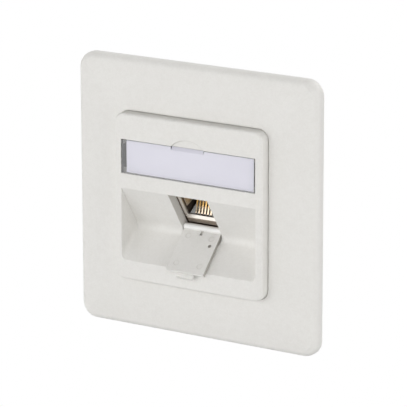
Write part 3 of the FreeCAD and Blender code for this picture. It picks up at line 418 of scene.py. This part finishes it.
def screw_finish():
    """Bright plating over turned rings round the middle of each head."""
    material, shader, place = new_finish("zinc_plate", Metallic=1.0)
    screw_low, screw_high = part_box("plate_screws")
    middle_up = (screw_low.z + screw_high.z) / 2
    head_radius = (screw_high.z - screw_low.z) / 2
    middle_across = screw_high.x - head_radius
    out = away(abs(place.axis("X")) - middle_across, place.axis("Z") - middle_up)
    ring_pitch = 0.12 * MM
    rings = (out * (2 * math.pi / ring_pitch)).sum("SINE")
    cloud = place.grain(0.8 * MM, 3)
    feed(shader["Base Color"], cloud.over(0.3, 0.7).tint((0.55, 0.56, 0.58), (0.70, 0.71, 0.72)))
    feed(shader["Roughness"], 0.28 + 0.12 * cloud)
    feed(shader["Normal"], rings.relief(0.006 * MM, 0.5))
    return material


clad("plate_screws", screw_finish())


# Paper label
# Plain strip of bluish white paper, cut from a sheet. It lies on the floor of the label field, and the
# window holds it there.


def paper_finish():
    """Matt paper with fine fibres along the strip and a faint cloud."""
    material, shader, place = new_finish("label_paper", Roughness=0.85)
    fibre = place.grain(0.3 * MM, 4, (0.35, 1, 1))
    cloud = place.grain(5 * MM, 3)
    paper_dark = (0.716, 0.706, 0.765)
    paper_pale = (0.752, 0.742, 0.800)
    feed(shader["Base Color"], (0.5 * fibre + 0.5 * cloud).over(0.3, 0.7).tint(paper_dark, paper_pale))
    feed(shader["Normal"], fibre.relief(0.01 * MM, 0.5))
    return material


clad("paper_label", paper_finish())


# Label window
# Clear moulded cover over the label, snapped in by a leg at each end. Its faces are polished, and its
# narrow edges, which carry light out of the pane, are painted grey as shade, the two long ones paler than the
# ends.


def clear_finish():
    """A pane that is clear with a mirror's gloss on its faces, and painted an opaque dark grey at its edges
    as shade.
    """
    material, _, place = new_finish("clear_cover", Roughness=0.3, Base_Color=(0.07, 0.07, 0.075))
    tree = material.node_tree
    facing = place.node("NewGeometry", {}, {}, output="True Normal")
    frontal = abs(facing.axis("Y"))
    ripple = place.grain(9 * MM, 2).relief(0.02 * MM, 0.3)
    outside = 1 - place.node("NewGeometry", {}, {}, output="Backfacing")
    gloss = 1.9
    mirror_share = outside * gloss * place.node("Fresnel", {}, {"IOR": 1.49})
    clear = place.node("BsdfTransparent", {}, {"Color": (0.975, 0.975, 0.985)})
    mirror = place.node("BsdfGlossy", {}, {"Color": (1, 1, 1), "Roughness": 0.06, "Normal": ripple})
    pane = place.node("MixShader", {}, {0: mirror_share, 1: clear, 2: mirror})
    # Opaque dark grey painted shade for the narrow edges.
    edge = Shade(tree.nodes["Principled BSDF"].outputs[0])
    paler = 1 - 0.45 * abs(facing.axis("Z"))
    edge_shade_share = 0.92 * paler * (1 - frontal.over(0.3, 0.6))
    whole = place.node("MixShader", {}, {0: edge_shade_share, 1: pane, 2: edge})
    tree.links.new(whole.socket, tree.nodes["Material Output"].inputs["Surface"])
    return material


clad("label_window", clear_finish())


# Dust flap
# Moulded in the same white plastic, thin and a little duller, with its ejector marks on the inner face.
# It swings on two trunnions in the central plate.

hinge_deep = 1.1 * MM
hinge_up = -14.3 * MM
flap_hinge = port_start + hinge_deep * into_port + hinge_up * up_port
flap_slope = math.radians(45)
flap_along = Vector((0, -math.cos(flap_slope), -math.sin(flap_slope)))
flap_out = Vector((0, math.sin(flap_slope), -math.cos(flap_slope)))
flap_half = 6.35 * MM
mark_radius = 0.8 * MM
mark_across = 3.95 * MM
mark_middle = 7.65 * MM
mark_apart = 4.65 * MM
gate_across = 4.4 * MM
gate_along = 5.35 * MM
gate_radius = 0.45 * MM
slot_half = 0.4 * MM
slot_start = 0.95 * MM
slot_end = 2.35 * MM
# Painted highlight on the hinge barrel.
painted_barrel_highlight = (0.94, 0.935, 0.92)
# Painted shade in the rims of the ejector marks.
painted_mark_shade = (0.45, 0.43, 0.38)
# Painted shade for the gate's pit, the hinge slot and the side faces.
painted_flap_shade = (0.20, 0.18, 0.14)


def flap_places(place):
    """Across the flap, along it from the hinge, and through it towards the outer face."""
    return places_along(place, flap_hinge, (to_right, flap_along, flap_out))


def mark_shade_share(place):
    """Painted shade in the rims of the four ejector marks on the inner face."""
    across, along, out = flap_places(place)
    from_mark = away(abs(across) - mark_across, abs(along - mark_middle) - mark_apart)
    inner = 1 - out.over(0.3 * MM, 0.4 * MM)
    return 0.22 * inner * from_mark.within(mark_radius - 0.12 * MM, mark_radius + 0.12 * MM, 0.08 * MM)


def pit_and_side_shade_share(place):
    """Painted shade in the gate's pit, in the slot at the hinge and on the side faces."""
    across, along, out = flap_places(place)
    gate = 1 - away(across - gate_across, along - gate_along).over(gate_radius, gate_radius + 0.15 * MM)
    slot_width = 1 - abs(across).over(slot_half - 0.05 * MM, slot_half + 0.1 * MM)
    slot_depth = 0.3 + 0.7 * along.over(slot_start + 0.3 * MM, slot_start + 0.9 * MM)
    slot = slot_width * slot_depth * along.within(slot_start, slot_end, 0.1 * MM)
    sides = 0.55 * abs(across).over(flap_half - 0.02 * MM, flap_half - 0.004 * MM)
    sides = sides * along.over(0.9 * MM, 1.5 * MM)
    pits = (gate + slot) * (1 - out.over(0.6 * MM, 0.7 * MM))
    return (0.7 * pits + sides).sum("MINIMUM", 0.9)


def barrel_highlight_share(place):
    """The hinge barrel, painted paler as a highlight."""
    _, along, _ = flap_places(place)
    return 1 - along.over(0.6 * MM, 0.95 * MM)


flap_coats = (
    (barrel_highlight_share, painted_barrel_highlight),
    (mark_shade_share, painted_mark_shade),
    (pit_and_side_shade_share, painted_flap_shade),
)
flap_skin = satin_plastic("flap_plastic", white_pale, white_dark, 0.45, edge=0.12 * MM, coats=flap_coats)
clad("dust_flap", flap_skin)


# Floor
# Plain pale floor, matt, well below the part, which hangs as on a wall. Seen by the camera or in a mirror
# it is the white background.


def floor_finish():
    """A pale matt floor that shows as the white background to the camera and in mirrors."""
    material, _, place = new_finish("pale_floor", Base_Color=(0.8, 0.8, 0.8), Roughness=0.9)
    white = place.node("Emission", {}, {"Color": (1, 1, 1), "Strength": 1.0})
    tree = material.node_tree
    matt = Shade(tree.nodes["Principled BSDF"].outputs[0])
    whole = place.node("MixShader", {}, {0: seen_directly(place), 1: matt, 2: white})
    tree.links.new(whole.socket, tree.nodes["Material Output"].inputs["Surface"])
    return material


def seen_directly(start):
    """1 for the camera's own rays and those that a mirror or clear plastic sends on."""
    path = start.node("LightPath", {}, {})
    ray_kinds = path.socket.node.outputs
    camera, glossy, through = (
        Shade(ray_kinds[f"Is {kind} Ray"]) for kind in ("Camera", "Glossy", "Transmission")
    )
    return camera.sum("MAXIMUM", glossy).sum("MAXIMUM", through)


floor_half = 3.0
floor_drop = 1.9
floor_mesh = bpy.data.meshes.new("floor")
floor_corners = [
    (across * floor_half, deep * floor_half, -floor_drop)
    for across, deep in ((-1, -1), (1, -1), (1, 1), (-1, 1))
]
floor_mesh.from_pydata(floor_corners, [], [(0, 1, 2, 3)])
floor = bpy.data.objects.new("floor", floor_mesh)
bpy.context.scene.collection.objects.link(floor)
floor_mesh.materials.append(floor_finish())


# Light
# Soft studio light: softboxes on both sides, in front, above behind and, weaker, above and below. Metal
# shows the white room and only the weaker lamps in front, so that it keeps its colour from every side.


def white_room():
    """A dark room that shows as the white background to the camera, in mirrors and through the pane."""
    world = bpy.data.worlds.new("room")
    world.use_nodes = True
    bpy.context.scene.world = world
    tree = world.node_tree
    dark = Shade(tree.nodes["Background"].outputs[0])
    feed(tree.nodes["Background"].inputs["Color"], (0, 0, 0))
    white = dark.node("Background", {}, {"Color": (1, 1, 1), "Strength": 1.0})
    whole = dark.node("MixShader", {}, {0: seen_directly(dark), 1: dark, 2: white})
    tree.links.new(whole.socket, tree.nodes["World Output"].inputs["Surface"])


def softbox(name, azimuth, elevation, distance, side, power, in_mirrors):
    """A soft square lamp that faces the part, placed by its bearing from straight ahead."""
    lamp = bpy.data.lights.new(name, "AREA")
    lamp.size = side
    lamp.energy = power
    holder = bpy.data.objects.new(name, lamp)
    bearing = bearing_from_front(azimuth, elevation)
    holder.location = bearing * distance
    holder.rotation_euler = (-bearing).to_track_quat("-Z", "Y").to_euler()
    holder.visible_glossy = in_mirrors
    bpy.context.scene.collection.objects.link(holder)


def bearing_from_front(azimuth, elevation):
    """The unit way to something seen from the part, in degrees right of and above straight ahead."""
    turn, rise = math.radians(azimuth), math.radians(elevation)
    return Vector((math.sin(turn) * math.cos(rise), -math.cos(turn) * math.cos(rise), math.sin(rise)))


white_room()
lamp_distance = 1.5
# Name, degrees to the right, degrees up, side in metres, watts, seen in mirrors
for name, azimuth, elevation, side, power, in_mirrors in (
    ("softbox_left", -59, 0, 1.6, 11.3, False),
    ("softbox_front_left", -20, 5, 1.2, 5.5, True),
    ("softbox_front", 15, 5, 1.2, 8.4, False),
    ("softbox_right", 85, 5, 1.2, 14.3, False),
    ("softbox_right_behind", 125, 5, 1.2, 3.8, False),
    ("softbox_above_behind", 180, 55, 1.2, 15.8, False),
    ("softbox_above", 0, 45, 1.2, 3.3, True),
    ("softbox_low", 0, -55, 1.2, 2.8, True),
):
    softbox(name, azimuth, elevation, lamp_distance, side, power, in_mirrors)


# Camera
# A long lens to the right of and above the part, in the place that best fits the outline and the plate's
# edges in the photograph.

camera_azimuth = 32.132
camera_elevation = 15.120
camera_distance = 860.6 * MM
camera_target = Vector((-0.546, 1.6, -1.341)) * MM
aim_azimuth = 32.120
aim_elevation = 15.111
camera_roll = -0.148
image_side = 407
focal_pixels = 2967.8

lens = bpy.data.cameras.new("camera")
lens.sensor_width = 36.0
lens.lens = focal_pixels / image_side * lens.sensor_width
lens.clip_start = 0.01
lens.clip_end = 20.0
camera = bpy.data.objects.new("camera", lens)
camera.location = camera_target + bearing_from_front(camera_azimuth, camera_elevation) * camera_distance
aim = (-bearing_from_front(aim_azimuth, aim_elevation)).to_track_quat("-Z", "Y")
camera.rotation_euler = (aim @ Euler((0, 0, math.radians(camera_roll))).to_quaternion()).to_euler()
bpy.context.scene.collection.objects.link(camera)
bpy.context.scene.camera = camera
bpy.context.scene.view_settings.view_transform = "Standard"
